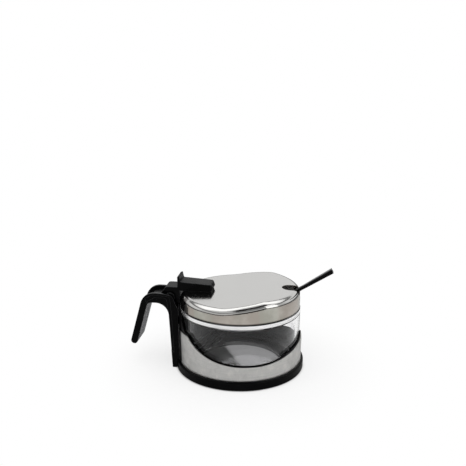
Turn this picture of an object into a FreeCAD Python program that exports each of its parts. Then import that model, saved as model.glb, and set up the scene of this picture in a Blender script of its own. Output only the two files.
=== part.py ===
"""Glass sugar jar in a black moulded frame, with a hinged steel lid and a spoon.

The origin is the centre of the base on the surface that it stands on. +Z is up,
-X points to the handle and +X to the slot for the spoon. All sizes are millimetres.
"""
import FreeCAD, Part
import math
import os
import re
import Sketcher

Vector = FreeCAD.Vector

# ---------------------------------------------------------------- sizes
# Numbers are set freely. A text is a formula of the sheet, so that its size follows.
SIZES = {
    # glass: every other piece takes its place from this cup
    "glass_radius": 44.3,
    "glass_wall": 3.0,
    "glass_bottom": 3.0,
    "glass_rim": 48.0,
    "rim_round": 1.6,
    "heel_round": 3.0,
    "inner_round": 5.0,
    "bead_depth": 2.0,
    "bead_height": 2.6,
    "bead_taper": 2.2,
    "bead_round": 1.2,
    # base frame: foot ring, floor flange and the liner behind the steel band
    "ring_step": 1.9,
    "base_radius": "=band_outer + ring_step",
    "ring_height": 6.6,
    "ring_round": 0.9,
    "floor_top": 2.4,
    "floor_ledge": 12.8,
    "floor_opening_radius": "=glass_radius - floor_ledge",
    "foot_lift": 0.8,
    "foot_width": 5.0,
    "liner_wall": 0.9,
    "liner_proud": 0.9,
    "liner_peak": 2.8,
    "liner_peak_angle": 14.0,
    "tongue_drop": 1.4,
    "tongue_top": "=glass_rim - tongue_drop",
    "tongue_half_angle": 19.0,
    # steel band: a wave between the handle and the far end
    "band_wall": 0.6,
    "band_outer": "=glass_radius + glass_gap + liner_wall + band_gap + band_wall",
    "band_trough": 17.3,
    "band_shoulder": 32.3,
    "band_peak": 24.6,
    "trough_angle": 70.0,
    "shoulder_angle": 138.0,
    "flange_length": 3.6,
    # lid
    "lid_inset": 0.5,
    "lid_radius": "=glass_radius - lid_inset",
    "lid_sheet": 0.7,
    "lid_round": 4.6,
    "low_height": 9.8,
    "crest_height": 14.4,
    "end_height": 13.6,
    "lid_low": "=glass_rim + low_height",
    "lid_crest": "=glass_rim + crest_height",
    "lid_end": "=glass_rim + end_height",
    "ramp_start": -8.0,
    "crest_place": 20.0,
    "ramp_radius": 40.0,
    "crest_radius": 7.0,
    "hem_wall": 1.3,
    "hem_height": 1.6,
    "slot_width": 12.0,
    "slot_length": 13.6,
    "slot_sill": 6.0,
    "slot_start": "=lid_radius - slot_length",
    "slot_level": "=glass_rim + slot_sill",
    # hinge
    "hinge_reach": 7.1,
    "hinge_height": 5.1,
    "pivot_reach": "=lid_radius + hinge_reach",
    "pivot_level": "=glass_rim + hinge_height",
    "pin_radius": 1.7,
    "pin_depth": 1.5,
    "boss_radius": 3.6,
    "boss_length": 1.4,
    "knuckle_radius": 4.4,
    # lever on the lid: its heights stand on the low half of the lid
    "lever_width": 13.4,
    "lever_length": 24.6,
    "lever_reach": "=lid_radius - lever_length",
    "lever_rear_height": 6.8,
    "lever_front_height": 5.4,
    "lever_nose_height": 2.6,
    "lever_round": 4.0,
    "tab_height": 11.1,
    "tab_lean": 0.8,
    "tab_wall": 1.7,
    "hump_height": 2.8,
    "hump_rear_rise": 2.9,
    "hump_reach": 6.8,
    "hump_flat": 3.4,
    # handle
    "rib_wall": 2.2,
    "handle_half_width": "=lever_width / 2 + hinge_gap + boss_length + rib_wall",
    "panel_step": 0.35,
    "rim_width": 1.6,
    "bead_width": 2.1,
    "web_wall": 2.6,
    "top_recess": 2.9,
    "slot_back": 8.5,
    "slot_rear": "=pivot_reach + slot_back",
    "slot_depth": 8.3,
    "slot_floor": "=pivot_level - slot_depth",
    "handle_rise": 3.3,
    "handle_top": "=pivot_level + handle_rise",
    "shoulder_length": 5.5,
    "shoulder_reach": "=pivot_reach + shoulder_length",
    "crown_length": 1.9,
    "crown_drop": 1.5,
    "crown_reach": "=pivot_reach - crown_length",
    "crown_level": "=handle_top - crown_drop",
    "neck_lap": 0.2,
    "neck_drop": 1.0,
    "neck_reach": "=band_outer - neck_lap",
    "neck_level": "=glass_rim - neck_drop",
    "grip_length": 31.3,
    "grip_reach": "=pivot_reach + grip_length",
    "grip_level": 16.4,
    "grip_tilt": 16.4,
    "grip_depth": 5.0,
    "outer_corner": 11.0,
    "arch_drop": 7.7,
    "arch_top": "=handle_top - arch_drop",
    "arch_radius": 9.5,
    "arch_corner": 3.0,
    "column_top_depth": 6.7,
    "column_foot_wall": 0.9,
    "column_top_side": "=band_outer + column_top_depth",
    "column_foot_side": "=base_radius + column_foot_wall",
    "column_foot_level": 0.4,
    "flare_spread": 5.8,
    "flare_half_width": "=handle_half_width + flare_spread",
    "flare_drop": 8.7,
    "flare_level": "=arch_top - flare_drop",
    # spoon: from the corner of the glass floor to a point above the lid's far edge
    "tip_inset": 1.4,
    "tip_rise": 2.6,
    "spoon_rise": 1.4,
    "bowl_length": 36.0,
    "bowl_width": 26.0,
    "bowl_depth": 6.2,
    "bowl_wall": 1.3,
    "stem_length": 89.4,
    "neck_width": 4.4,
    "neck_thickness": 2.4,
    "stem_width": 4.2,
    "stem_thickness": 2.2,
    "stem_end_width": 6.2,
    "stem_end_thickness": 3.0,
    # clearances
    "glass_gap": 0.2,
    "band_gap": 0.1,
    "seat_gap": 0.1,
    "lid_gap": 0.2,
    "hinge_gap": 0.3,
    "pin_gap": 0.05,
}

doc = FreeCAD.newDocument("sugar_jar")
sheet = doc.addObject("Spreadsheet::Sheet", "dims")
for row, (alias, value) in enumerate(SIZES.items(), start=1):
    sheet.set("A%d" % row, alias)
    sheet.set("B%d" % row, str(value))
    sheet.setAlias("B%d" % row, alias)
doc.recompute()


def size(alias):
    """The value of one cell of the sheet."""
    return float(sheet.get(alias))


# ---------------------------------------------------------------- small helpers
def bound(text):
    """An expression in which every alias points to the sheet."""
    return re.sub(r"[a-z][a-z_]*", lambda word: "dims." + word.group(0)
                  if word.group(0) in SIZES else word.group(0), text)


def primitive(kind, name, at=("0", "0", "0"), **sizes):
    """A Part primitive whose sizes and place are bound to the sheet."""
    thing = doc.addObject(kind, name)
    for prop, text in sizes.items():
        thing.setExpression(prop, bound(text))
    for axis, text in zip("xyz", at):
        thing.setExpression("Placement.Base." + axis, bound(text))
    return thing


def cylinder(name, radius, height, level="0"):
    return primitive("Part::Cylinder", name, ("0", "0", level), Radius=radius, Height=height)


def box(name, length, width, height, at):
    return primitive("Part::Box", name, at, Length=length, Width=width, Height=height)


def cut(name, base, tool):
    thing = doc.addObject("Part::Cut", name)
    thing.Base = base
    thing.Tool = tool
    doc.recompute()
    return thing


def common(name, base, tool):
    thing = doc.addObject("Part::Common", name)
    thing.Base = base
    thing.Tool = tool
    doc.recompute()
    return thing


def fuse(name, *pieces):
    thing = doc.addObject("Part::MultiFuse", name)
    thing.Shapes = list(pieces)
    thing.Refine = True
    doc.recompute()
    return thing


def feature(name, shape):
    thing = doc.addObject("Part::Feature", name)
    thing.Shape = shape
    doc.recompute()
    return thing


def fillet(name, base, radius, wanted):
    """Round every edge of base for which wanted(edge) is true."""
    doc.recompute()
    thing = doc.addObject("Part::Fillet", name)
    thing.Base = base
    edges = [(number, radius, radius) for number, edge in enumerate(base.Shape.Edges, start=1)
             if wanted(edge)]
    thing.Edges = edges
    doc.recompute()
    return thing


def outline(corners):
    """A closed wire in the XZ plane. Each corner is (x, z, radius)."""
    count = len(corners)
    edges = []
    points = [Vector(x, 0, z) for x, z, _ in corners]
    ends = []
    for i, (_, _, radius) in enumerate(corners):
        here = points[i]
        back = (points[i - 1] - here).normalize()
        ahead = (points[(i + 1) % count] - here).normalize()
        if radius <= 0:
            ends.append((here, None, here))
            continue
        half = back.getAngle(ahead) / 2
        reach = radius / math.tan(half)
        centre = here + (back + ahead).normalize() * (radius / math.sin(half))
        middle = centre + (here - centre).normalize() * radius
        ends.append((here + back * reach, middle, here + ahead * reach))
    for i, (start, middle, end) in enumerate(ends):
        if middle is not None:
            edges.append(Part.Arc(start, middle, end).toShape())
        following = ends[(i + 1) % count][0]
        if end.distanceToPoint(following) > 1e-6:
            edges.append(Part.LineSegment(end, following).toShape())
    return Part.Wire(edges)


def slab(wire, low, high):
    """The solid that an XZ outline sweeps between two values of Y."""
    moved = wire.copy()
    moved.translate(Vector(0, low, 0))
    return Part.Face(moved).extrude(Vector(0, high - low, 0))


def at_radius(edge, radius, level=None):
    """True for a round edge about the Z axis of that radius and level."""
    curve = edge.Curve
    if not isinstance(curve, Part.Circle) or abs(curve.Radius - radius) > 1e-4:
        return False
    return level is None or abs(curve.Center.z - level) < 1e-4


# ---------------------------------------------------------------- the wave
def band_top(angle):
    """Height of the steel band's edge at an angle from +X, in degrees."""
    turn = abs(angle)
    trough = size("trough_angle")
    shoulder = size("shoulder_angle")
    if turn > trough:
        share = min((turn - trough) / (shoulder - trough), 1.0)
        return size("band_trough") + (size("band_shoulder") - size("band_trough")) * share ** 2.7
    share = (trough - turn) / trough
    smooth = share * share * (3.0 - 2.0 * share)
    return size("band_trough") + (size("band_peak") - size("band_trough")) * smooth


def liner_top(angle):
    """The liner stands just proud of the band, with a tongue at the handle."""
    turn = abs(angle)
    level = band_top(angle) + size("liner_proud")
    peak_share = max(0.0, 1.0 - turn / size("liner_peak_angle"))
    level += size("liner_peak") * peak_share
    start = 180.0 - 2.0 * size("tongue_half_angle")
    share = min(max((turn - start) / size("tongue_half_angle"), 0.0), 1.0)
    smooth = share * share * (3.0 - 2.0 * share)
    return level + (size("tongue_top") - level) * smooth


def wave_cutter(law, inner, outer, step=3):
    """Everything above a wavy edge, for a wall between two radii."""
    wires = []
    for radius in (inner, outer):
        points = []
        for angle in range(-180, 180, step):
            turn = math.radians(angle)
            points.append(Vector(radius * math.cos(turn), radius * math.sin(turn), law(angle)))
        curve = Part.BSplineCurve()
        curve.interpolate(Points=points, PeriodicFlag=True)
        wires.append(curve.toShape())
    surface = Part.makeRuledSurface(wires[0], wires[1])
    return surface.extrude(Vector(0, 0, size("glass_rim")))


# ---------------------------------------------------------------- base frame
def make_base_frame():
    """Foot ring with a floor flange, and the thin liner that holds the glass."""
    body = cylinder("ring_blank", "base_radius", "ring_height")
    body = fillet("ring_rounded", body, size("ring_round"),
                  lambda edge: at_radius(edge, size("base_radius")))
    seat = cylinder("glass_seat", "glass_radius + glass_gap", "ring_height", "floor_top")
    body = cut("ring_seat", body, seat)
    hole = cylinder("floor_hole", "floor_opening_radius", "ring_height")
    body = cut("ring_open", body, hole)
    relief = cylinder("foot_relief", "base_radius - foot_width", "foot_lift")
    body = cut("ring_foot", body, relief)
    outer = cylinder("liner_blank", "glass_radius + glass_gap + liner_wall",
                     "tongue_top - floor_top", "floor_top")
    inner = cylinder("liner_bore", "glass_radius + glass_gap", "tongue_top", "floor_top")
    wall = cut("liner_tube", outer, inner)
    bore = size("glass_radius") + size("glass_gap")
    above = feature("liner_wave", wave_cutter(liner_top, bore - 1.0, bore + size("liner_wall") + 1.0))
    wall = cut("liner_wall_cut", wall, above)
    return fuse("base_frame", body, wall)


# ---------------------------------------------------------------- steel band
def make_band():
    """Sheet bent round the liner, with its two ends turned out into the handle."""
    inside = "glass_radius + glass_gap + liner_wall + band_gap"
    outer = cylinder("band_blank", inside + " + band_wall", "tongue_top", "ring_height")
    inner = cylinder("band_bore", inside, "tongue_top", "ring_height")
    tube = cut("band_tube", outer, inner)
    above = feature("band_wave", wave_cutter(band_top, size("band_outer") - 2.0, size("band_outer") + 1.0))
    tube = cut("band_edge", tube, above)
    half = "(handle_half_width - rib_wall)"
    gap = box("band_gap_cut", "base_radius", "2 * (%s - band_wall)" % half, "glass_rim",
              ("-base_radius - 1", "-(%s - band_wall)" % half, "0"))
    tube = cut("band_open", tube, gap)
    flange_x = "-(glass_radius + glass_gap + liner_wall + band_gap + flange_length)"
    sides = []
    for name, low in (("band_flange_left", half + " - band_wall"), ("band_flange_right", "-" + half)):
        sides.append(box(name, "flange_length + band_wall", "band_wall",
                         "band_shoulder - ring_height", (flange_x, low, "ring_height")))
    return fuse("steel_band", tube, *sides)


# ---------------------------------------------------------------- glass
def make_jar():
    """Straight glass cup with a thick floor, a beaded rim and rounded edges."""
    body = doc.addObject("PartDesign::Body", "glass_jar")
    sketch = body.newObject("Sketcher::SketchObject", "glass_profile")
    plane = [f for f in body.Origin.OriginFeatures if f.Role == "XZ_Plane"][0]
    sketch.AttachmentSupport = [(plane, "")]
    sketch.MapMode = "FlatFace"
    outer = size("glass_radius")
    inner = outer - size("glass_wall")
    low = size("floor_top") + size("seat_gap")
    floor = low + size("glass_bottom")
    rim = size("glass_rim")
    lip = inner - size("bead_depth")
    ledge = rim - size("bead_height")
    taper = ledge - size("bead_taper")
    corners = [(0, low), (outer, low), (outer, rim), (lip, rim), (lip, ledge),
               (inner, taper), (inner, floor), (0, floor)]
    count = len(corners)
    for i in range(count):
        a = corners[i]
        b = corners[(i + 1) % count]
        sketch.addGeometry(Part.LineSegment(Vector(a[0], a[1], 0), Vector(b[0], b[1], 0)))
    for i in range(count):
        sketch.addConstraint(Sketcher.Constraint("Coincident", i, 2, (i + 1) % count, 1))
    for i in (0, 2, 6):
        sketch.addConstraint(Sketcher.Constraint("Horizontal", i))
    for i in (1, 3, 5, 7):
        sketch.addConstraint(Sketcher.Constraint("Vertical", i))
    sketch.addConstraint(Sketcher.Constraint("PointOnObject", 7, 1, -2))
    named = (
        ("outer", "DistanceX", (-1, 1, 1, 1), outer, "glass_radius"),
        ("lip", "DistanceX", (-1, 1, 3, 1), lip, "glass_radius - glass_wall - bead_depth"),
        ("inner", "DistanceX", (-1, 1, 5, 1), inner, "glass_radius - glass_wall"),
        ("low", "DistanceY", (-1, 1, 0, 1), low, "floor_top + seat_gap"),
        ("floor", "DistanceY", (-1, 1, 7, 1), floor, "floor_top + seat_gap + glass_bottom"),
        ("ledge", "DistanceY", (-1, 1, 4, 1), ledge, "glass_rim - bead_height"),
        ("taper", "DistanceY", (-1, 1, 5, 1), taper, "glass_rim - bead_height - bead_taper"),
        ("rim", "DistanceY", (-1, 1, 2, 1), rim, "glass_rim"),
    )
    for name, kind, points, value, text in named:
        number = sketch.addConstraint(Sketcher.Constraint(kind, *points, value))
        sketch.renameConstraint(number, name)
        sketch.setExpression("Constraints." + name, bound(text))
    turn = body.newObject("PartDesign::Revolution", "glass_turned")
    turn.Profile = sketch
    turn.ReferenceAxis = (sketch, ["V_Axis"])
    turn.Angle = 360
    doc.recompute()
    rounds = (
        ("rim_rounding", "rim_round", lambda e: at_radius(e, outer, rim)),
        ("bead_rounding", "bead_round", lambda e: at_radius(e, lip, rim) or at_radius(e, lip, ledge)),
        ("heel_rounding", "heel_round", lambda e: at_radius(e, outer, low)),
        ("floor_rounding", "inner_round", lambda e: at_radius(e, inner, floor)),
    )
    base = turn
    for name, alias, wanted in rounds:
        rounding = body.newObject("PartDesign::Fillet", name)
        names = ["Edge%d" % number for number, edge in enumerate(base.Shape.Edges, start=1)
                 if wanted(edge)]
        rounding.Base = (base, names)
        rounding.setExpression("Radius", bound(alias))
        doc.recompute()
        base = rounding
    body.Tip = base
    doc.recompute()
    return body


# ---------------------------------------------------------------- lid
def lid_blank(name, inset):
    """The lid's outer form, or its hollow when it is set in by the sheet."""
    radius = "lid_radius - %s" % inset if inset else "lid_radius"
    set_in = size(inset) if inset else 0.0
    disc = cylinder(name + "_disc", radius, "lid_crest", "glass_rim + lid_gap")
    far = size("lid_radius") + 5.0
    low = size("lid_low") - set_in
    crest = size("lid_crest") - set_in
    slope = (size("lid_end") - size("lid_crest")) / (size("lid_radius") - size("crest_place"))
    end = crest + slope * (far - size("crest_place"))
    bottom = size("glass_rim") - 5.0
    wave = outline([
        (-far, bottom, 0), (-far, low, 0),
        (size("ramp_start"), low, size("ramp_radius") + set_in),
        (size("crest_place"), crest, size("crest_radius") - set_in),
        (far, end, 0), (far, bottom, 0)])
    top = feature(name + "_wave", slab(wave, -far, far))
    shape = common(name + "_form", disc, top)
    limit = size("lid_low") - 2.0 * size("lid_round")
    return fillet(name + "_rounded", shape, size("lid_round") - set_in,
                  lambda edge: edge.BoundBox.ZMin > limit
                  and edge.BoundBox.DiagonalLength > 1.0
                  and abs(math.hypot(*edge.valueAt(edge.FirstParameter)[:2])
                          - size("lid_radius") + set_in) < 1e-3
                  and abs(math.hypot(*edge.valueAt(edge.LastParameter)[:2])
                          - size("lid_radius") + set_in) < 1e-3)


def make_lid():
    """Pressed steel lid: a low half, a ramp and a high half, with a turned hem."""
    shell = cut("lid_shell", lid_blank("lid_outside", ""), lid_blank("lid_inside", "lid_sheet"))
    hem_out = cylinder("hem_outer", "lid_radius - lid_sheet / 2", "hem_height", "glass_rim + lid_gap")
    hem_in = cylinder("hem_inner", "lid_radius - hem_wall", "hem_height", "glass_rim + lid_gap")
    hem = cut("hem", hem_out, hem_in)
    shell = fuse("lid_hemmed", shell, hem)
    slot_box = box("slot_box", "lid_radius", "slot_width", "lid_crest",
                   ("slot_start + slot_width / 2", "-slot_width / 2", "slot_level"))
    slot_end = cylinder("slot_end", "slot_width / 2", "lid_crest", "slot_level")
    slot_end.setExpression("Placement.Base.x", bound("slot_start + slot_width / 2"))
    slot = fuse("slot", slot_box, slot_end)
    return cut("lid", shell, slot)


# ---------------------------------------------------------------- lever
def along_hinge(radius, low, high):
    """A cylinder on the hinge line between two values of Y."""
    start = Vector(-size("pivot_reach"), low, size("pivot_level"))
    return Part.makeCylinder(radius, high - low, start, Vector(0, 1, 0))


def make_lever():
    """Thumb lever: an arm on the lid, a tab, and the knuckle with two pins."""
    half = size("lever_width") / 2
    back = -(size("lid_radius") + size("lid_gap"))
    seat = size("lid_low")
    nose = -size("lever_reach")
    pivot_x = -size("pivot_reach")
    under = size("pivot_level") - size("knuckle_radius")
    tab_face = back + 0.9 - size("tab_lean")
    side = outline([
        (back, seat, 0),
        (nose - 1.6, seat, 0.5),
        (nose, seat + size("lever_nose_height"), 0.8),
        (nose - 1.7, seat + size("lever_front_height"), 1.2),
        (back + 0.9, seat + size("lever_rear_height"), 1.0),
        (tab_face, seat + size("tab_height"), 0.5),
        (tab_face - size("tab_wall"), seat + size("tab_height") - 0.6, 0.5),
        (tab_face - size("tab_wall"), seat + size("hump_height"), 0.6),
        (pivot_x - size("hump_flat"), seat + size("hump_height"), 2.6),
        (pivot_x - size("hump_reach"), size("pivot_level") + size("hump_rear_rise"), 1.4),
        (pivot_x - size("knuckle_radius"), under, 4.0),
        (back, under, 1.2)])
    solid = slab(side, -half, half)
    reach = size("pivot_reach") * 2
    plan = Part.makeBox(reach, 2 * half, 40, Vector(nose - reach, -half, size("pivot_level") - 20))
    corners = [edge for edge in plan.Edges
               if edge.BoundBox.ZLength > 30 and edge.BoundBox.XMax > nose - 0.1]
    solid = solid.common(plan.makeFillet(size("lever_round"), corners))
    tip = half + size("hinge_gap") + size("boss_length") + size("pin_depth") - size("pin_gap")
    solid = solid.fuse(along_hinge(size("pin_radius"), -tip, tip))
    return feature("lid_lever", solid.removeSplitter())


# ---------------------------------------------------------------- handle
def grip_axes():
    """Directions along and across the grip, and the corner of its outer line."""
    tilt = math.radians(size("grip_tilt"))
    along = Vector(math.sin(tilt), 0, math.cos(tilt))
    across = Vector(math.cos(tilt), 0, -math.sin(tilt))
    return along, across, Vector(-size("grip_reach"), 0, size("grip_level"))


def reach_level(start, along, level):
    """The point of a slanting line at one level."""
    return start + along * ((level - start.z) / along.z)


def front_form(inset=0.0):
    """The handle's front outline, straight and then flared to the foot, as a block."""
    half = size("handle_half_width") - inset
    wide = size("flare_half_width") - inset
    foot = size("column_foot_level")
    over = size("handle_top") + 5.0
    reach = size("grip_reach") + 10.0
    corners = [(half, over), (half, size("flare_level")), (wide, foot), (wide, foot - 1.0)]
    corners += [(-y, z) for y, z in reversed(corners)]
    points = [Vector(-reach, y, z) for y, z in corners]
    block = Part.Face(Part.makePolygon(points + points[:1])).extrude(Vector(reach, 0, 0))
    if inset:
        return block
    grip = Part.makeBox(reach - size("slot_rear"), 2 * half, over, Vector(-reach, -half, 0))
    column = block.common(Part.makeBox(size("slot_rear"), 2 * wide, over + 5.0,
                                       Vector(-size("slot_rear"), -wide, -2.0)))
    return column.fuse(grip)


def rib_skin(panel, side, depth):
    """The part of one rib's outer face inside a panel outline, down to a depth."""
    wide = size("flare_half_width")
    low, high = (-wide, 0.0) if side < 0 else (0.0, wide)
    return slab(panel, low, high).cut(front_form(depth))


def make_handle():
    """Open hook: two ribs and a sunk web, a column and bosses for the hinge."""
    along, across, tip = grip_axes()
    inner_tip = tip + across * size("grip_depth")
    top = size("handle_top")
    inside = size("handle_half_width") - size("rib_wall")
    foot = size("column_foot_level")
    jar_side = -(size("band_outer") - 3.0)
    end = size("grip_depth") * 0.48
    hook = outline([
        (tip.x, tip.z, end),
        (reach_level(tip, along, top).x, top, size("outer_corner")),
        (-size("shoulder_reach"), top, 40.0),
        (-size("crown_reach"), size("crown_level"), 3.5),
        (-size("neck_reach"), size("neck_level"), 3.0),
        (jar_side, size("neck_level") - 6.0, 0),
        (jar_side, foot, 0),
        (-size("column_foot_side"), foot, 0.6),
        (-size("column_top_side"), size("arch_top"), size("arch_radius")),
        (reach_level(inner_tip, along, size("arch_top")).x, size("arch_top"), size("arch_corner")),
        (inner_tip.x, inner_tip.z, end)])
    solid = slab(hook, -size("flare_half_width"), size("flare_half_width")).common(front_form())
    # the channel between the ribs, down to the web
    recess = size("grip_depth") - size("web_wall")
    web_top = top - size("top_recess")
    web_start = tip + across * recess
    low = foot - 5.0
    far = size("grip_reach") + 10.0
    web = slab(outline([
        (reach_level(web_start, along, low).x, low, 0),
        (reach_level(web_start, along, web_top).x, web_top, size("outer_corner") - recess),
        (0, web_top, 0), (0, low, 0)]), -inside, inside)
    channel = Part.makeBox(far, 2 * inside, far, Vector(-far, -inside, low + 2.0)).cut(web)
    solid = solid.cut(channel)
    # the open slot for the knuckle, with a boss on each rib
    slot = Part.makeBox(size("slot_rear"), 2 * inside, far, Vector(-size("slot_rear"), -inside,
                                                                  size("slot_floor")))
    solid = solid.cut(slot)
    boss_face = inside - size("boss_length")
    for low_y, high_y in ((-inside - 0.5, -boss_face), (boss_face, inside + 0.5)):
        solid = solid.fuse(along_hinge(size("boss_radius"), low_y, high_y))
    bottom = inside + size("pin_depth")
    solid = solid.cut(along_hinge(size("pin_radius") + size("pin_gap"), -bottom, bottom))
    # two steps down on the outside of each rib leave a rim and a bead along the edge
    for step, edge in enumerate((size("rim_width"), size("rim_width") + size("bead_width")), start=1):
        panel_top = top - edge
        outer = tip + across * edge
        panel = outline([
            (reach_level(outer, along, panel_top - 3.0).x + 1.0, panel_top - 3.0, 0),
            (reach_level(outer, along, panel_top).x + 5.5, panel_top, 3.0),
            (-size("crown_reach") - edge * 1.2, size("crown_level") - edge * 0.6, 2.0),
            (-size("column_foot_side") + 1.6 - edge * 0.4, foot + 12.0, 0),
            (-size("column_foot_side") - 6.0, foot + 20.0, 0),
            (-size("slot_rear"), foot + 26.0, 0)])
        for side in (-1, 1):
            solid = solid.cut(rib_skin(panel, side, step * size("panel_step")))
    # room for the base ring, the band and its two flanges
    gap = size("band_gap")
    solid = solid.cut(Part.makeCylinder(size("base_radius") + gap, size("ring_height") + gap))
    solid = solid.cut(Part.makeCylinder(size("band_outer") + gap, size("tongue_top") + gap))
    for sign in (-1, 1):
        middle = sign * (inside - size("band_wall") / 2)
        room = Part.makeBox(size("flange_length") + 1.0, size("band_wall") + 2 * gap,
                            size("band_shoulder") - foot + 0.6,
                            Vector(-size("band_outer") - size("flange_length") + size("band_wall") - gap,
                                   middle - size("band_wall") / 2 - gap, foot - 0.1))
        solid = solid.cut(room)
    return feature("hook_handle", solid.removeSplitter())


# ---------------------------------------------------------------- spoon
def oval_section(place, width, thickness):
    """A rounded section of the stem at one place along the spoon."""
    side = min(width, thickness) * 0.3
    wire = outline([(-width / 2, -thickness / 2, side), (width / 2, -thickness / 2, side),
                    (width / 2, thickness / 2, side), (-width / 2, thickness / 2, side)])
    wire.rotate(Vector(0, 0, 0), Vector(0, 0, 1), -90)
    wire.translate(Vector(place, 0, 0))
    return wire


def make_spoon():
    """Plain spoon with a shallow oval bowl, leaning from the floor to the slot."""
    long_half = size("bowl_length") / 2
    wide_half = size("bowl_width") / 2
    depth = size("bowl_depth")
    wall = size("bowl_wall")
    shells = []
    for name, less in (("bowl_outside", 0.0), ("bowl_inside", wall)):
        oval = doc.addObject("Part::Ellipsoid", name)
        oval.setExpression("Radius1", bound("bowl_depth - %g" % less))
        oval.setExpression("Radius2", bound("bowl_length / 2 - %g" % less))
        oval.setExpression("Radius3", bound("bowl_width / 2 - %g" % less))
        oval.Angle1 = -90
        oval.Angle2 = 90
        shells.append(oval)
    doc.recompute()
    bowl = shells[0].Shape.cut(shells[1].Shape)
    bowl = bowl.common(Part.makeBox(4 * long_half, 4 * wide_half, 2 * depth,
                                    Vector(-2 * long_half, -2 * wide_half, -2 * depth)))
    bowl.translate(Vector(long_half, 0, 0))
    length = size("bowl_length") + size("stem_length")
    tip_x = -(size("glass_radius") - size("glass_wall") - size("tip_inset"))
    tip_level = size("floor_top") + size("seat_gap") + size("glass_bottom") + size("tip_rise")
    slope = math.degrees(math.atan2(size("lid_end") + size("spoon_rise") - tip_level,
                                    size("lid_radius") - tip_x))
    stations = (
        (size("bowl_length") - 1.6, size("neck_width"), size("neck_thickness")),
        (size("bowl_length") + 22.0, size("stem_width"), size("stem_thickness")),
        (length - 26.0, size("stem_width"), size("stem_thickness")),
        (length, size("stem_end_width"), size("stem_end_thickness")))
    sections = [oval_section(*station) for station in stations]
    stem = Part.makeLoft(sections, True, True)
    stem.translate(Vector(0, 0, -size("neck_thickness") / 2))
    spoon = bowl.fuse(stem).removeSplitter()
    spoon.rotate(Vector(0, 0, 0), Vector(0, 1, 0), -slope)
    spoon.translate(Vector(tip_x, 0, tip_level))
    return feature("sugar_spoon", spoon)


# ---------------------------------------------------------------- nodes
NODES = (
    ("base_frame", make_base_frame),
    ("band", make_band),
    ("jar", make_jar),
    ("handle", make_handle),
    ("lid", make_lid),
    ("lever", make_lever),
    ("spoon", make_spoon),
)

os.makedirs("parts", exist_ok=True)
for node, make in NODES:
    piece = make()
    doc.recompute()
    if {"Invalid", "Error"} & set(piece.State):
        raise SystemExit("%s did not build: %s" % (node, piece.State))
    if piece.Shape.isNull() or not piece.Shape.isValid() or len(piece.Shape.Solids) != 1:
        raise SystemExit("%s is not one sound solid (%d)" % (node, len(piece.Shape.Solids)))
    piece.Label = node
    piece.Shape.exportStep("parts/%s.step" % node)
    box_of = piece.Shape.BoundBox
    print("%-11s %9.1f mm3  x %.2f..%.2f y %.2f..%.2f z %.2f..%.2f" % (
        node, piece.Shape.Volume, box_of.XMin, box_of.XMax, box_of.YMin, box_of.YMax,
        box_of.ZMin, box_of.ZMax))
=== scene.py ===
"""Looks of the glass sugar jar: materials, studio light, floor and camera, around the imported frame.

Everything is in metres in the frame's axes: +Z up, -X towards the handle, +X towards the spoon.
Shades that sit at a fixed place on the part are measured from its own axes, never from the camera.
"""

import math

import bmesh
import bpy
from mathutils import Matrix, Vector


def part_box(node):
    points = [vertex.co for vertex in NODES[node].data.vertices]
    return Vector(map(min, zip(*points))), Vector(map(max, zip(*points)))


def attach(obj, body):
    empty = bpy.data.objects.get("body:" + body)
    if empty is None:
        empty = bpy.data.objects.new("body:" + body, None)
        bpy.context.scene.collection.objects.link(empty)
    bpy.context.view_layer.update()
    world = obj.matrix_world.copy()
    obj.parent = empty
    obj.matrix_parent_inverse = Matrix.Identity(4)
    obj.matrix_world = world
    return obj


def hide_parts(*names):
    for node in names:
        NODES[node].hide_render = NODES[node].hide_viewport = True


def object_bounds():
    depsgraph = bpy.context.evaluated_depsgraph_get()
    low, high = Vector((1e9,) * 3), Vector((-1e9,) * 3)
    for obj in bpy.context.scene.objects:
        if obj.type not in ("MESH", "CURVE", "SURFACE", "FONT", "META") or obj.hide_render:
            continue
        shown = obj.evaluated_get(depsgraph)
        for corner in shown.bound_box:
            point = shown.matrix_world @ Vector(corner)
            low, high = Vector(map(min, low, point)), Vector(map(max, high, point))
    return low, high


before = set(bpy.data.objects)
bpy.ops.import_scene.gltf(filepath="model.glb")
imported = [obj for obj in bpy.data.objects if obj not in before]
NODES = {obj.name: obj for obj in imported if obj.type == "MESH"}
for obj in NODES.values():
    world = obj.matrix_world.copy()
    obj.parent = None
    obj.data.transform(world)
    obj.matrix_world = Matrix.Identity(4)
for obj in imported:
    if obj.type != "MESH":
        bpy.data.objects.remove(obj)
cad_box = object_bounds()

MM = 0.001

# ------------------------------------------------------------------ camera
CAMERA_AZIMUTH = math.radians(6.5)
CAMERA_ELEVATION = math.radians(22.36)
CAMERA_ROLL = math.radians(-0.5)
CAMERA_DISTANCE = 0.4571
CAMERA_TARGET = Vector((0.0, 0.0, 0.02857))
CAMERA_LENS = 47.03                     # in mm, on a sensor of the width below
CAMERA_SENSOR = 36.0
CAMERA_SHIFT = (-0.0153, 0.2030)
CAMERA_CLIP = 0.01


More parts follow.
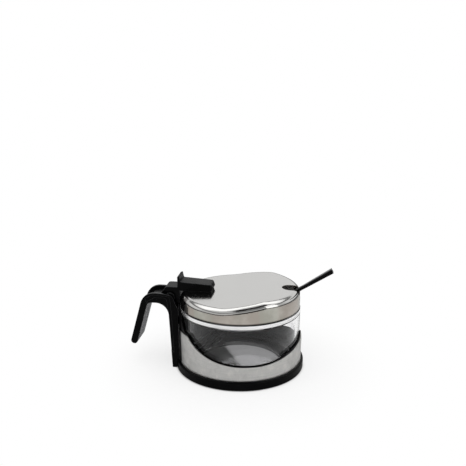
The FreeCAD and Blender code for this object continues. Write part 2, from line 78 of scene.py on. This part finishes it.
def make_camera():
    """Camera at the photograph's viewing angle, with its small roll and its framing."""
    a, e = CAMERA_AZIMUTH, CAMERA_ELEVATION
    back = Vector((math.sin(a) * math.cos(e), -math.cos(a) * math.cos(e), math.sin(e)))
    right = Vector((math.cos(a), math.sin(a), 0.0))
    up = back.cross(right)
    c, s = math.cos(CAMERA_ROLL), math.sin(CAMERA_ROLL)
    rolled_right = c * right - s * up
    rolled_up = s * right + c * up
    data = bpy.data.cameras.new("camera")
    data.sensor_width = CAMERA_SENSOR
    data.lens = CAMERA_LENS
    data.shift_x, data.shift_y = CAMERA_SHIFT
    data.clip_start = CAMERA_CLIP
    camera = bpy.data.objects.new("camera", data)
    turn = Matrix((rolled_right, rolled_up, back)).transposed().to_4x4()
    camera.matrix_world = Matrix.Translation(CAMERA_TARGET + CAMERA_DISTANCE * back) @ turn
    bpy.context.scene.collection.objects.link(camera)
    bpy.context.scene.camera = camera


# ------------------------------------------------------------------ node helpers
class Shader:
    """The node tree of a material or a world, with short calls to add and link nodes."""

    def __init__(self, owner):
        owner.use_nodes = True
        self.owner = owner
        self.tree = owner.node_tree
        self.tree.nodes.clear()

    def node(self, kind, inputs=None, **settings):
        made = self.tree.nodes.new("ShaderNode" + kind)
        for key, value in settings.items():
            setattr(made, key, value)
        for key, value in (inputs or {}).items():
            if isinstance(value, bpy.types.NodeSocket):
                self.tree.links.new(value, made.inputs[key])
            else:
                made.inputs[key].default_value = value
        return made

    def math(self, operation, a, b=0.0):
        return self.node("Math", {0: a, 1: b}, operation=operation).outputs[0]

    def times(self, a, *others):
        for other in others:
            a = self.math("MULTIPLY", a, other)
        return a

    def plus(self, a, b):
        return self.math("ADD", a, b)

    def most(self, a, b):
        return self.math("MAXIMUM", a, b)

    def rest(self, a):
        """What is left of 1."""
        return self.math("SUBTRACT", 1.0, a)

    def span(self, value, low, high, to_low=0.0, to_high=1.0):
        """A smooth step from to_low at low to to_high at high, flat beyond both."""
        made = self.node("MapRange", {"Value": value, "From Min": low, "From Max": high,
                                      "To Min": to_low, "To Max": to_high})
        made.interpolation_type = "SMOOTHSTEP"
        return made.outputs[0]

    def mix(self, factor, a, b):
        """Colour a, or b where factor is 1."""
        return self.node("Mix", {0: factor, 6: a, 7: b}, data_type="RGBA").outputs[2]

    def blend(self, factor, a, b):
        """Value a, or b where factor is 1."""
        return self.node("Mix", {0: factor, 2: a, 3: b}, data_type="FLOAT").outputs[0]

    def layer(self, factor, a, b):
        """Surface a, or b where factor is 1."""
        return self.node("MixShader", {0: factor, 1: a, 2: b}).outputs[0]

    def noise(self, vector, scale, detail=3.0, rough=0.5):
        return self.node("TexNoise", {"Vector": vector, "Scale": scale, "Detail": detail,
                                      "Roughness": rough}).outputs[0]

    def stretched(self, a, b, scales, seed, detail, rough=0.5):
        """Noise over two coordinates, each with its own scale; seed picks another pattern."""
        place = self.vector(self.times(a, scales[0]), self.times(b, scales[1]), seed)
        return self.noise(place, 1.0, detail, rough)

    def vector(self, x, y, z):
        return self.node("CombineXYZ", {0: x, 1: y, 2: z}).outputs[0]

    def parts(self, vector):
        return self.node("SeparateXYZ", {0: vector}).outputs[:3]

    def dot(self, a, b):
        made = self.node("VectorMath", {0: a, 1: b}, operation="DOT_PRODUCT")
        return made.outputs["Value"]

    def place(self):
        return self.node("TexCoord").outputs["Object"]

    def own_normal(self):
        return self.node("TexCoord").outputs["Normal"]

    def around(self, at):
        """Angle about the Z axis and height of a point."""
        x, y, z = self.parts(at)
        return self.math("ARCTAN2", y, x), z

    def bump(self, height, distance, strength):
        return self.node("Bump", {"Height": height, "Distance": distance,
                                  "Strength": strength}).outputs[0]

    def finish(self, surface, output="OutputMaterial"):
        self.node(output, {"Surface": surface})
        return self.owner


def new_shader(name):
    return Shader(bpy.data.materials.new(name))


def grey(level):
    return (level, level, level, 1.0)


WHITE = grey(1.0)

# Spans: the low and high end and, where there are four numbers, the values at those ends.
MID_CLOUD = (0.3, 0.7)                  # where a noise turns from low to high
FALL = (1.0, 0.0)                       # ends of a span that goes down instead of up

# ------------------------------------------------------------------ black plastic
# Noises are given as scale per metre, detail and roughness. A facing is the span of a part of the
# surface's own normal over which a shade sets in.
PLASTIC_IOR = 1.45
PLASTIC_CLOUDS = (90.0, 4.0, 0.6)
PLASTIC_BUMP = 0.6
ROUGH_LESS, ROUGH_MORE = 0.05, 0.07     # how far the clouds take the roughness down and up
GRAIN = 0.22 * MM
GRAIN_RELIEF = 0.000005
GRAIN_ROUGH = 0.05
BLACK = (0.0012, 0.0012, 0.00132, 1)
BLACK_WORN = (0.00228, 0.00228, 0.00246, 1)

RIB_PITCH = 1.3 * MM
RIB_RELIEF = 0.12 * MM
RIB_GROOVE = grey(0.02)
RIB_GROOVE_SPAN = (-1.0, 0.2, 0.45, 0.0)
GRIP_DARK = (0.20, 0.20, 0.21, 1)
GRIP_PALE = (0.42, 0.42, 0.43, 1)
GRIP_EDGE = 1.0 * MM
GRIP_FACING = (0.80, 0.93)
GRIP_STREAKS = (900.0, 60.0)            # per metre, across and along the hook

# Painted highlight: pale grey on the faces that look up, above a given height.
LIT_DARK = (0.22, 0.22, 0.225, 1)
LIT_PALE = (0.46, 0.46, 0.465, 1)
LIT_RISE = 2.0 * MM
LIT_SIDE = 0.6 * MM
LIT_FACING = (0.55, 0.75)
WORN_FACING = (0.25, 0.75)

# Painted highlight on the rounded edges of the black mouldings: a dark grey a little paler than the
# black.
EDGE_DARK = (0.005, 0.005, 0.0055, 1)
EDGE_PALE = (0.020, 0.020, 0.022, 1)
EDGE_CLOUDS = (260.0, 4.0, 0.6)
EDGE_ROUGH = (0.32, 0.48)
EDGE_GLOSS = 0.3
EDGE_RELIEF = 0.00003


def black_plastic(name, roughness, gloss, gloss_up=None, grip=None, lit=None):
    """Satin moulded plastic: a fine grain, faint flow marks and slightly worn gloss.

    With gloss_up, the faces that look up are worn to that gloss.
    Left of x = grip, the inner face of the hook is grey with streaks and finely ribbed.
    Above z = lit, the faces that look up get a painted pale highlight on their far half.
    """
    s = new_shader(name)
    at = s.place()
    x, y, z = s.parts(at)
    facing_x, _, facing_z = s.parts(s.own_normal())
    fine = s.noise(at, 1.0 / GRAIN, 2.0)
    cloud = s.noise(at, *PLASTIC_CLOUDS)
    shade = s.mix(s.span(cloud, 0.35, 0.7), BLACK, BLACK_WORN)
    rough = s.plus(s.span(cloud, *MID_CLOUD, roughness - ROUGH_LESS, roughness + ROUGH_MORE),
                   s.times(fine, GRAIN_ROUGH))
    relief = s.times(fine, GRAIN_RELIEF)
    if grip is not None:
        # The hook's inner face is grey with streaks and fine ribs.
        greyed = s.times(s.span(facing_x, *GRIP_FACING), s.span(x, grip - GRIP_EDGE, grip, *FALL))
        rib = s.math("SINE", s.times(z, 2.0 * math.pi / RIB_PITCH))
        across, along = GRIP_STREAKS
        streak = s.noise(s.vector(0.0, s.times(y, across), s.times(z, along)), 1.0)
        grip_grey = s.mix(s.span(streak, *MID_CLOUD), GRIP_DARK, GRIP_PALE)
        grip_grey = s.mix(s.span(rib, *RIB_GROOVE_SPAN), grip_grey, RIB_GROOVE)
        shade = s.mix(greyed, shade, grip_grey)
        relief = s.plus(relief, s.times(rib, greyed, RIB_RELIEF))
    if lit is not None:
        # Painted highlight: the upward faces above z = lit are painted pale on their far half.
        lit_top_highlight = s.times(s.span(facing_z, *LIT_FACING), s.span(z, lit, lit + LIT_RISE),
                        s.span(y, -LIT_SIDE, LIT_SIDE))
        shade = s.mix(lit_top_highlight, shade, s.mix(cloud, LIT_DARK, LIT_PALE))
    if gloss_up is not None:
        gloss = s.span(facing_z, *WORN_FACING, gloss, gloss_up)
    base = s.node("BsdfPrincipled", {
        "Base Color": shade, "Roughness": rough, "IOR": PLASTIC_IOR, "Specular IOR Level": gloss,
        "Normal": s.bump(relief, 1.0, PLASTIC_BUMP)})
    return s.finish(base.outputs[0])


def painted_edge_highlight(name):
    """The rounded edges of the black mouldings in a matte dark grey: a painted highlight."""
    s = new_shader(name)
    cloud = s.noise(s.place(), *EDGE_CLOUDS)
    base = s.node("BsdfPrincipled", {
        "Base Color": s.mix(s.span(cloud, *MID_CLOUD), EDGE_DARK, EDGE_PALE),
        "Roughness": s.span(cloud, *MID_CLOUD, *EDGE_ROUGH),
        "IOR": PLASTIC_IOR, "Specular IOR Level": EDGE_GLOSS,
        "Normal": s.bump(cloud, EDGE_RELIEF, 0.5)})
    return s.finish(base.outputs[0])


# ------------------------------------------------------------------ steel
# Scales in pairs are per radian round the part, or per metre along X, and then per metre.
BAND_LINES = (2.2, 5200.0)
BAND_STREAKS = (1.1, 900.0)
BAND_SMEARS = (7.0, 110.0)
BAND_CLOUDS = 60.0
BAND_ROUGH = (0.25, 0.75, 0.26, 0.38)
BAND_RELIEF = 0.00001
BAND_DARK = (0.70, 0.695, 0.675, 1)
BAND_PALE = (0.84, 0.835, 0.81, 1)
SMEAR_DARK = (0.56, 0.565, 0.545, 1)
SMEAR_PALE = (0.95, 0.925, 0.89, 1)
SMEAR_DARK_SPAN = (0.35, 0.5, 0.35, 0.0)
SMEAR_PALE_SPAN = (0.52, 0.68, 0.0, 0.55)
FOLD_LEFT = (-43.5 * MM, -43.1 * MM)    # painted shade in the fold of the band beside the handle, along X
FOLD_RIGHT = (-41.2 * MM, -39.8 * MM)
FOLD_SHADE = (0.012, 0.012, 0.014, 1)
FOLD_DEPTH = 0.95

LID_LINES = (60.0, 4200.0)
LID_TINTS = (3.0, 12.0)
LID_CLOUDS = (40.0, 4.0, 0.55)
LID_GLOSS = 0.1
TOP_FACING = (0.75, 0.97)
TOP_ROUGH = (0.25, 0.75, 0.10, 0.15)
TOP_RELIEF = 0.000004
WALL_FACING = (0.10, 0.40)
WALL_ROUGH = (0.06, 0.12)
WALL_RELIEF = 0.0001
SATIN_DARK = (0.60, 0.595, 0.58, 1)
SATIN_PALE = (0.64, 0.635, 0.62, 1)
PINK_DARK = (0.60, 0.545, 0.485, 1)
PINK_PALE = (0.76, 0.70, 0.635, 1)
GREEN_DARK = (0.60, 0.59, 0.52, 1)
GREEN_PALE = (0.75, 0.74, 0.665, 1)
# Painted shade for the hem, the inner wall and the slot's walls, and painted reflection at the hinge
# end.
LID_SHADE = (0.045, 0.035, 0.03, 1)
HEM_HEIGHT, HEM_DEPTH = 1.0 * MM, 0.75
INSIDE_SPAN = (-0.004, 0.001, 0.96, 0.0)    # of the normal times the place: below 0 looks inward
UPRIGHT_FACING = (0.4, 0.6)
SLOT_INNER = (30.5 * MM, 31.5 * MM)     # the spoon's slot along X, and its half width
SLOT_OUTER = (41.0 * MM, 42.5 * MM)
SLOT_HALF = (5.5 * MM, 6.5 * MM)
SLOT_FACING = (0.5, 0.7, 0.92, 0.0)
HINGE_END = (-37.0 * MM, -31.0 * MM)    # the lid's end under the lever, along X; there the lid gets a painted reflection of the black lever
HINGE_DEPTH = 0.9
HINGE_FACING = (0.90, 0.97)
HINGE_RIPPLE = (0.45, 0.62, 1.0, 0.55)


def brushed_band(name):
    """Stainless sheet brushed along the band: long fine lines, smears and painted shade where it
    folds.
    """
    s = new_shader(name)
    at = s.place()
    turn, height = s.around(at)
    lines = s.stretched(turn, height, BAND_LINES, 0.0, 3.0, 0.65)
    streaks = s.stretched(turn, height, BAND_STREAKS, 3.0, 2.0)
    smear = s.stretched(turn, height, BAND_SMEARS, 9.0, 4.0, 0.6)
    cloud = s.noise(at, BAND_CLOUDS)
    tone = s.plus(s.times(lines, 0.6), s.times(streaks, 0.4))
    shade = s.mix(s.span(tone, *MID_CLOUD), BAND_DARK, BAND_PALE)
    shade = s.mix(s.span(smear, *SMEAR_DARK_SPAN), shade, SMEAR_DARK)
    shade = s.mix(s.span(smear, *SMEAR_PALE_SPAN), shade, SMEAR_PALE)
    x = s.parts(at)[0]
    # Painted shade where the band folds back beside the handle.
    fold_shade = s.times(s.span(x, *FOLD_LEFT), s.span(x, *FOLD_RIGHT, FOLD_DEPTH, 0.0))
    base = s.node("BsdfPrincipled", {
        "Base Color": s.mix(fold_shade, shade, FOLD_SHADE), "Metallic": 1.0,
        "Roughness": s.plus(s.span(tone, *BAND_ROUGH), s.times(cloud, 0.05)),
        "Normal": s.bump(lines, BAND_RELIEF, 0.6)})
    return s.finish(base.outputs[0])


def lid_steel(name, hem):
    """Polished stainless lid with a faint brush on its top and soft clouds on its wall.

    It has painted shade in the turn of the hem, on the inner side of the wall and on the walls of
    the spoon's slot, and a painted reflection of the black lever and column at its end by the lever.
    """
    s = new_shader(name)
    at = s.place()
    normal = s.own_normal()
    x, y, _ = s.parts(at)
    turn, height = s.around(at)
    facing = s.parts(normal)[2]
    top = s.span(facing, *TOP_FACING)
    lines = s.stretched(x, y, LID_LINES, 0.0, 3.0, 0.6)
    cloud = s.noise(at, *LID_CLOUDS)
    tint_place = s.vector(s.times(turn, LID_TINTS[0]), s.times(height, LID_TINTS[1]), 4.0)
    tint = s.noise(tint_place, 1.0, 2.0)
    ripple = s.noise(tint_place, 3.0, 2.0)

    satin = s.mix(s.span(lines, *MID_CLOUD), SATIN_DARK, SATIN_PALE)
    pink = s.mix(s.span(cloud, 0.40, 0.60), PINK_DARK, PINK_PALE)
    green = s.mix(s.span(cloud, 0.40, 0.60), GREEN_DARK, GREEN_PALE)
    wall = s.mix(s.span(tint, 0.4, 0.6), pink, green)
    shade = s.mix(s.span(facing, *WALL_FACING), wall, satin)

    # Painted shade in the hem, on the inner side of the wall and on the slot's walls, and a painted
    # reflection of the black lever at the hinge end; these parts also lose their metal.
    hem_shade = s.span(height, hem, hem + HEM_HEIGHT, HEM_DEPTH, 0.0)
    inside = s.times(s.span(s.dot(normal, at), *INSIDE_SPAN),
                     s.span(s.math("ABSOLUTE", facing), *UPRIGHT_FACING, *FALL))
    slot = s.times(s.span(x, *SLOT_INNER), s.span(x, *SLOT_OUTER, *FALL),
                   s.span(s.math("ABSOLUTE", y), *SLOT_HALF, *FALL), s.span(facing, *SLOT_FACING))
    hinge_reflection = s.times(s.span(x, *HINGE_END, HINGE_DEPTH, 0.0),
                         s.span(facing, *HINGE_FACING, *FALL), s.span(ripple, *HINGE_RIPPLE))
    recess_shade = s.most(inside, slot)
    shade = s.mix(s.most(s.most(hem_shade, hinge_reflection), recess_shade), shade, LID_SHADE)

    rough_top = s.plus(s.span(lines, *TOP_ROUGH), s.times(cloud, 0.03))
    rough_wall = s.span(cloud, *MID_CLOUD, *WALL_ROUGH)
    uneven = s.plus(s.times(lines, s.times(top, TOP_RELIEF)),
                    s.times(ripple, s.times(s.rest(top), WALL_RELIEF)))
    base = s.node("BsdfPrincipled", {
        "Base Color": shade, "Metallic": s.rest(recess_shade),
        "Roughness": s.blend(top, rough_wall, rough_top),
        "Specular IOR Level": LID_GLOSS, "Normal": s.bump(uneven, 1.0, 0.5)})
    return s.finish(base.outputs[0])


# ------------------------------------------------------------------ glass
GLASS_IOR = 1.5
GLASS_TINT = (0.975, 0.975, 0.98, 1)
GLASS_MIRROR = grey(0.48)
GLASS_SHADOW = (0.86, 0.86, 0.865, 1)
GLASS_WAVES = 55.0
GLASS_RELIEF = 0.0002
FOOT_CLEAR = (0.93, 0.93, 0.935, 1)
FOOT_HEIGHT = 6.0 * MM
FOOT_FADE = 3.0 * MM
FOOT_SHARE = 0.8
# Painted light on the rim: its bead is painted white with a diffuse layer, and its top 1 mm gets the
# lid's painted shade.
BEAD_HEIGHT = 3.5 * MM
BEAD_FADE = 0.6 * MM
BEAD_WHITE_SHARE = (0.82, 0.97)
BEAD_AT_HINGE = 0.1                     # how much of the painted white is left by the hinge
LID_SHADOW = (1.0 * MM, 0.6 * MM)       # below the top of the rim, the lid's painted shade on the bead
LID_SHADOW_TONE = grey(0.02)


def clear_glass(name, low, high):
    """Clear glass with faint waves; lamps reach what is behind it.

    The thick bead of the rim is painted white with a diffuse layer, a painted glow, up to the lid's
    painted shade.
    The bottom mirrors little, because the dark lid is all that it would show.
    """
    s = new_shader(name)
    at = s.place()
    x, _, height = s.parts(at)
    wave = s.noise(at, GLASS_WAVES, 2.0)
    glass = s.node("BsdfPrincipled", {
        "Base Color": GLASS_TINT, "Roughness": 0.0, "IOR": GLASS_IOR,
        "Transmission Weight": 1.0, "Specular Tint": GLASS_MIRROR,
        "Normal": s.bump(wave, GLASS_RELIEF, 0.25)}).outputs[0]
    plain = s.node("BsdfTransparent", {"Color": FOOT_CLEAR}).outputs[0]
    foot_top = low + FOOT_HEIGHT
    body = s.layer(s.span(height, foot_top - FOOT_FADE, foot_top, FOOT_SHARE, 0.0), glass, plain)

    # Painted glow on the bead and the lid's painted shade on its top.
    shaded = s.span(height, high - LID_SHADOW[0], high - LID_SHADOW[1])
    bead_white_layer = s.node("BsdfDiffuse", {"Color": s.mix(shaded, WHITE, LID_SHADOW_TONE)})
    bead = high - BEAD_HEIGHT
    painted_bead_white = s.times(s.span(height, bead, bead + BEAD_FADE), s.span(wave, *MID_CLOUD, *BEAD_WHITE_SHARE),
                    s.span(x, *HINGE_END, BEAD_AT_HINGE, 1.0))
    rim = s.layer(painted_bead_white, body, bead_white_layer.outputs[0])

    clear = s.node("BsdfTransparent", {"Color": GLASS_SHADOW}).outputs[0]
    return s.finish(s.layer(s.node("LightPath").outputs["Is Shadow Ray"], rim, clear))


# ------------------------------------------------------------------ studio
# The mirrored studio is laid out by rise, the height of the direction looked in, from -1 to 1, and
# by how far that direction goes ahead, towards the camera's side, and aside.
WORLD_DIFFUSE = 0.42
FLOOR_RADIUS = 1.6
FLOOR_COLOUR = grey(0.84)
FLOOR_MIRRORED = 0.66
# Under the object the floor is painted: dark paper with a painted glow in the round opening and a
# painted diagonal shadow across it.
OPENING_SIDE = (0.894, 0.447, 0.0)      # across the painted diagonal shadow under the round opening
OPENING_EDGE = (-3.0 * MM, 0.5 * MM)
OPENING_DARK, OPENING_GLOW = 0.01, 0.29
OPENING_PAPER = 0.06
FADE_STEP = 0.004
FADE_NEAR, FADE_FAR = 0.050, 0.115
FADE_LEVELS = (0.74, 1.0)
ROOM_RISE = (0.03, 0.26, 0.06, 0.88)
ROOM_AHEAD = (-0.1, 0.1, 1.0, 0.72)
RING_LOW, RING_HIGH = (0.50, 0.54), (0.62, 0.66)
RING_DEPTH = 0.75
CEILING_LOW, CEILING_HIGH = (0.62, 0.80, 0.0, 0.80), (0.95, 0.985)
CEILING_AHEAD = (-0.2, 0.2)
DARK_TURN = math.radians(14.0)
DARK_AHEAD = (math.sin(DARK_TURN), -math.cos(DARK_TURN), 0.0)
DARK_ASIDE = (math.cos(DARK_TURN), math.sin(DARK_TURN), 0.0)
DARK_CENTRE = 0.12
DARK_NEAR, DARK_WIDE = (0.05, 0.17), (0.42, 0.60)
DARK_STREAKS = (3.0, 14.0, 14.0)
DARK_STREAK_SPAN = (0.60, 0.68, 1.0, 0.5)
DARK_DEPTH = 0.97
BETWEEN_LOW, BETWEEN_HIGH = (0.21, 0.30), (0.66, 0.76)
BETWEEN_DEPTH = 0.8


def background_rays(s):
    """1 for rays that should see the plain background, camera and transmission rays; all rays."""
    rays = s.node("LightPath")
    return s.most(rays.outputs["Is Camera Ray"], rays.outputs["Is Transmission Ray"]), rays


def mirrored_studio(s):
    """What reflections see: a bright ceiling, a dim horizon and a streaky dark zone ahead."""
    way = s.node("TexCoord").outputs["Generated"]
    rise = s.parts(way)[2]
    ahead = s.dot(way, DARK_AHEAD)
    ring = s.times(s.span(rise, *RING_LOW), s.span(rise, *RING_HIGH, *FALL))
    room = s.times(s.span(rise, *ROOM_RISE), s.rest(s.times(ring, RING_DEPTH)),
                   s.span(ahead, *ROOM_AHEAD))
    ceiling = s.times(s.span(rise, *CEILING_LOW), s.span(rise, *CEILING_HIGH, *FALL),
                      s.span(ahead, *CEILING_AHEAD, *FALL))

    aside = s.math("ABSOLUTE", s.math("SUBTRACT", s.dot(way, DARK_ASIDE), DARK_CENTRE))
    between = s.times(s.span(rise, *BETWEEN_LOW), s.span(rise, *BETWEEN_HIGH, *FALL))
    streak_place = s.node("VectorMath", {0: way, 1: DARK_STREAKS}, operation="MULTIPLY").outputs[0]
    streak = s.span(s.noise(streak_place, 1.0, 2.0, 0.6), *DARK_STREAK_SPAN)
    dark = s.times(s.span(ahead, *DARK_NEAR), s.span(aside, *DARK_WIDE, *FALL),
                   s.rest(s.times(between, BETWEEN_DEPTH)), streak, DARK_DEPTH)
    return s.times(s.plus(room, ceiling), s.rest(dark))


def make_world():
    """White background, plain soft light, and the mirrored studio for glossy rays."""
    world = bpy.data.worlds.new("studio")
    bpy.context.scene.world = world
    s = Shader(world)
    seen, rays = background_rays(s)
    soft = s.blend(rays.outputs["Is Glossy Ray"], WORLD_DIFFUSE, mirrored_studio(s))
    light = s.node("Background", {"Color": WHITE, "Strength": s.blend(seen, soft, 1.0)})
    s.finish(light.outputs[0], "OutputWorld")


def make_floor():
    """Pale floor that keeps the shadow near the object and fades into the background.
    Under the object the paper is painted dark, with a painted glow and a painted diagonal shadow
    across the round opening.

    From below it is clear, so that the underside can be seen.
    """
    bpy.ops.mesh.primitive_circle_add(vertices=96, radius=FLOOR_RADIUS, fill_type="NGON",
                                      location=(0, 0, cad_box[0][2]))
    floor = bpy.context.object
    floor.name = "floor"
    s = new_shader("floor_paper")
    seen, rays = background_rays(s)
    at = s.place()
    away = s.node("VectorMath", {0: at}, operation="LENGTH").outputs["Value"]
    beyond = s.span(away, FADE_NEAR - FADE_STEP, FADE_NEAR)
    # Painted glow in the round opening, with a painted diagonal shadow across it.
    painted_glow = s.span(s.dot(at, OPENING_SIDE), *OPENING_EDGE, OPENING_DARK, OPENING_GLOW)
    fade = s.plus(s.times(painted_glow, s.rest(beyond)),
                  s.times(beyond, s.span(away, FADE_NEAR, FADE_FAR, *FADE_LEVELS)))
    mirrored = s.times(rays.outputs["Is Glossy Ray"], 1.0 - FLOOR_MIRRORED)
    # Painted shade: the paper under the object is darkened for seen rays.
    under = s.times(seen, s.times(1.0 - OPENING_PAPER, s.rest(beyond)))
    colour = s.mix(s.most(mirrored, under), FLOOR_COLOUR, grey(0.0))
    paper = s.node("BsdfDiffuse", {"Color": colour}).outputs[0]
    own = s.node("Emission", {"Color": WHITE, "Strength": 1.0}).outputs[0]
    above = s.layer(s.times(seen, fade), paper, own)
    clear = s.node("BsdfTransparent").outputs[0]
    backfacing = s.node("NewGeometry").outputs["Backfacing"]
    floor.data.materials.append(s.finish(s.layer(backfacing, above, clear)))


LAMP_AIM = (0.0, 0.0, 0.03)
TOP_BOX, TOP_POWER = (0.9, 0.9), 5.6
SIDE_BOX, SIDE_POWER = (0.5, 0.7), 1.2


def area_lamp(name, place, size, power, mirrored):
    """A softbox aimed at the part; mirrored says whether it shows in reflections."""
    data = bpy.data.lights.new(name, "AREA")
    data.shape = "RECTANGLE"
    data.size, data.size_y = size
    data.energy = power
    lamp = bpy.data.objects.new(name, data)
    lamp.location = place
    lamp.rotation_euler = (Vector(LAMP_AIM) - Vector(place)).to_track_quat("-Z", "Y").to_euler()
    lamp.visible_glossy = mirrored
    bpy.context.scene.collection.objects.link(lamp)


def make_lights():
    """A large overhead softbox and two weaker boxes at the sides."""
    area_lamp("overhead_box", (0.10, -0.15, 0.95), TOP_BOX, TOP_POWER, mirrored=False)
    area_lamp("left_box", (-0.75, -0.50, 0.45), SIDE_BOX, SIDE_POWER, mirrored=False)
    area_lamp("right_box", (0.80, -0.35, 0.50), SIDE_BOX, SIDE_POWER, mirrored=True)


# ------------------------------------------------------------------ put together
SAME_POINT = 2e-6                       # CAD points closer than this are one
FLAT = math.radians(1.0)                # faces that meet flatter than this are joined
CORNER = math.radians(28.0)             # outer edges that turn more than this are rounded
KEPT_SHARP = math.radians(40.0)
ROUND_SEGMENTS = 2
SLIVER = 5e-6                           # edges shorter than this after rounding are closed up
HANDLE_ROUND = 0.32 * MM
LEVER_ROUND = 0.35 * MM
GRIP_REACH = 26.0 * MM                  # the hook's inner face ends within this of the part's left


def paint(node, material):
    """Give a CAD node one material."""
    obj = NODES[node]
    obj.data.materials.clear()
    obj.data.materials.append(material)


def soften(node, body, width, material, edges):
    """The CAD node's own shape with its outer edges rounded, in place of the sharp node."""
    mesh = NODES[node].data.copy()
    mesh.name = node + "_soft"
    piece = bpy.data.objects.new(node + "_soft", mesh)
    bpy.context.scene.collection.objects.link(piece)
    work = bmesh.new()
    work.from_mesh(mesh)
    bmesh.ops.remove_doubles(work, verts=work.verts, dist=SAME_POINT)
    bmesh.ops.dissolve_limit(work, angle_limit=FLAT, verts=work.verts, edges=work.edges)
    sharp = [edge for edge in work.edges if len(edge.link_faces) == 2 and edge.is_convex
             and edge.calc_face_angle(0.0) > CORNER]
    bmesh.ops.bevel(work, geom=sharp, offset=width, offset_type="OFFSET", segments=ROUND_SEGMENTS,
                    profile=0.5, affect="EDGES", clamp_overlap=False, material=1)
    bmesh.ops.dissolve_degenerate(work, dist=SLIVER, edges=work.edges)
    for face in work.faces:
        face.smooth = True
    mesh.materials.clear()
    mesh.materials.append(material)
    mesh.materials.append(edges)
    work.to_mesh(mesh)
    work.free()
    mesh.set_sharp_from_angle(angle=KEPT_SHARP)
    weighted = piece.modifiers.new("flat_faces", "WEIGHTED_NORMAL")
    weighted.keep_sharp = True
    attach(piece, body)
    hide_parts(node)


lid_low, lid_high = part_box("lid")
jar_low, jar_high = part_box("jar")
handle_low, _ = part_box("handle")
paint("base_frame", black_plastic("black_plastic", 0.30, 0.07))
paint("spoon", black_plastic("spoon_plastic", 0.24, 0.11, lit=lid_high[2]))
paint("band", brushed_band("brushed_band"))
paint("lid", lid_steel("lid_steel", lid_low[2]))
paint("jar", clear_glass("clear_glass", jar_low[2], jar_high[2]))
# The rounded edges of the handle and lever get the painted highlight.
greyed = painted_edge_highlight("painted_edge_highlight")
soften("handle", "holder", HANDLE_ROUND,
       black_plastic("handle_plastic", 0.27, 0.08, gloss_up=0.42, grip=handle_low[0] + GRIP_REACH),
       greyed)
soften("lever", "lid", LEVER_ROUND, black_plastic("lever_plastic", 0.25, 0.09), greyed)

make_camera()
make_world()
make_floor()
make_lights()

scene = bpy.context.scene
scene.view_settings.view_transform = "Standard"
